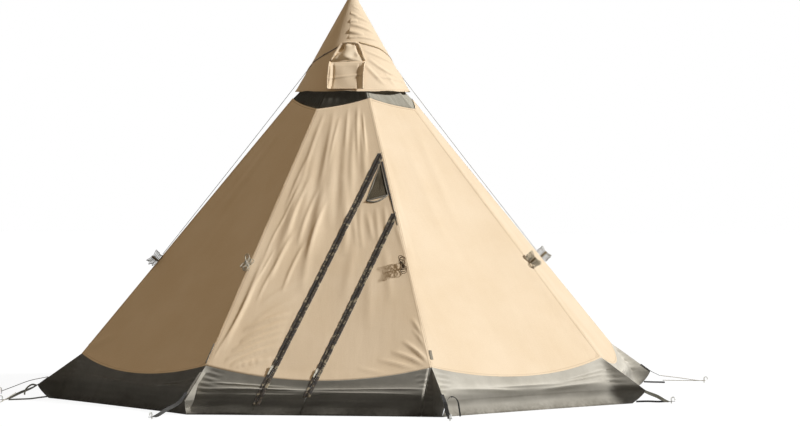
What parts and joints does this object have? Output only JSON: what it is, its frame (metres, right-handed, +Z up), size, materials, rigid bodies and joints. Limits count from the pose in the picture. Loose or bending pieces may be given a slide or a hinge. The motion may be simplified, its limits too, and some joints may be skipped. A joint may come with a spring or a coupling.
{
  "type": "pyramid tent",
  "caption": "Octagonal pyramid tent on a centre pole: canvas walls, slanting door zips, netted vent under a cone cap, mud skirt, straps, pegs and tied cords.",
  "frame": {"origin": "centre of the pole foot's underside, on the ground", "axes": "+Z up the pole, the door faces -Y, +X to the right seen from the door"},
  "size_m": [4.2197, 4.0496, 2.4],
  "materials": {
    "canvas": "woven matt",
    "gather_cloth": "woven matt",
    "skirt_cloth": "coated woven matt",
    "netting": "fine mesh",
    "zip_tape": "woven tape",
    "webbing": "woven webbing",
    "cord": "braided",
    "slider_metal": "antique brass",
    "pole_alloy": "anodised satin",
    "black_plastic": "moulded",
    "peg_steel": "galvanised"
  },
  "bodies": {
    "canopy": {"wall_front_left": "canvas", "wall_front_right": "canvas", "wall_right": "canvas", "wall_back_right": "canvas", "wall_back": "canvas", "wall_back_left": "canvas", "wall_left": "canvas", "door_panel_left": "canvas", "cap": "canvas", "hatch_gather": "gather_cloth", "skirt_left": "skirt_cloth", "skirt_right": "skirt_cloth", "vent_net": "netting", "zip_1_tape_left": "zip_tape", "pole_upper": "pole_alloy", "pole_tip": "pole_alloy", "strap_front_left": "webbing", "peg_front_left": "peg_steel", "hank_front_left": "cord", "strap_front_right": "webbing", "peg_front_right": "peg_steel", "strap_right_front": "webbing", "peg_right_front": "peg_steel", "hank_right_front": "cord", "strap_right_back": "webbing", "peg_right_back": "peg_steel", "hank_right_back": "cord", "strap_back_right": "webbing", "peg_back_right": "peg_steel", "hank_back_right": "cord", "strap_back_left": "webbing", "peg_back_left": "peg_steel", "hank_back_left": "cord", "strap_left_back": "webbing", "peg_left_back": "peg_steel", "hank_left_back": "cord", "strap_left_front": "webbing", "peg_left_front": "peg_steel", "hank_left_front": "cord", "guy_peg": "peg_steel", "cap_cord_left": "cord", "cap_cord_right": "cord", "guy_cord_high": "cord", "guy_cord_low": "cord", "guy_cord_right": "cord"},
    "door_flap": {"door_flap": "canvas", "skirt_front_flap": "skirt_cloth", "zip_2_tape_right": "zip_tape", "hank_front_right": "cord"},
    "door_band": {"door_band": "canvas", "skirt_front_band": "skirt_cloth", "zip_1_tape_right": "zip_tape", "zip_2_tape_left": "zip_tape", "door_vent_net": "netting"},
    "zip_1_slider": {"zip_1_slider": "slider_metal"},
    "zip_2_slider": {"zip_2_slider": "slider_metal"},
    "hatch_cover": {"hatch_cover": "canvas"},
    "pole_lower": {"pole_lower": "pole_alloy", "pole_foot": "black_plastic"},
    "pole_collar": {"pole_lock_collar": "black_plastic"}
  },
  "joints": [
    {"name": "door_flap_swing", "type": "hinge", "parent": "canopy", "child": "door_flap", "pos_m": [0.6354, -1.5341, 0.26], "axis": [-0.2482, 0.5992, 0.7612], "range_deg": [0, 110]},
    {"name": "door_band_swing", "type": "hinge", "parent": "canopy", "child": "door_band", "pos_m": [0.6354, -1.5341, 0.26], "axis": [-0.2482, 0.5992, 0.7612], "range_deg": [0, 110]},
    {"name": "zip_1_run", "type": "slide", "parent": "canopy", "child": "zip_1_slider", "axis": [0.3099, 0.5881, 0.7471], "range_m": [0, 1.45]},
    {"name": "zip_2_run", "type": "slide", "parent": "door_band", "child": "zip_2_slider", "axis": [0.3047, 0.5891, 0.7484], "range_m": [0, 1]},
    {"name": "hatch_cover_lift", "type": "hinge", "parent": "canopy", "child": "hatch_cover", "pos_m": [0, -0.2471, 1.9847], "axis": [-1, 0, 0], "range_deg": [0, 120]},
    {"name": "pole_length", "type": "slide", "parent": "canopy", "child": "pole_lower", "axis": [0, 0, 1], "range_m": [0, 0.3]},
    {"name": "pole_lock_twist", "type": "hinge", "parent": "canopy", "child": "pole_collar", "pos_m": [0, 0, 0.89], "axis": [0, 0, 1], "range_deg": [0, 180]}
  ]
}
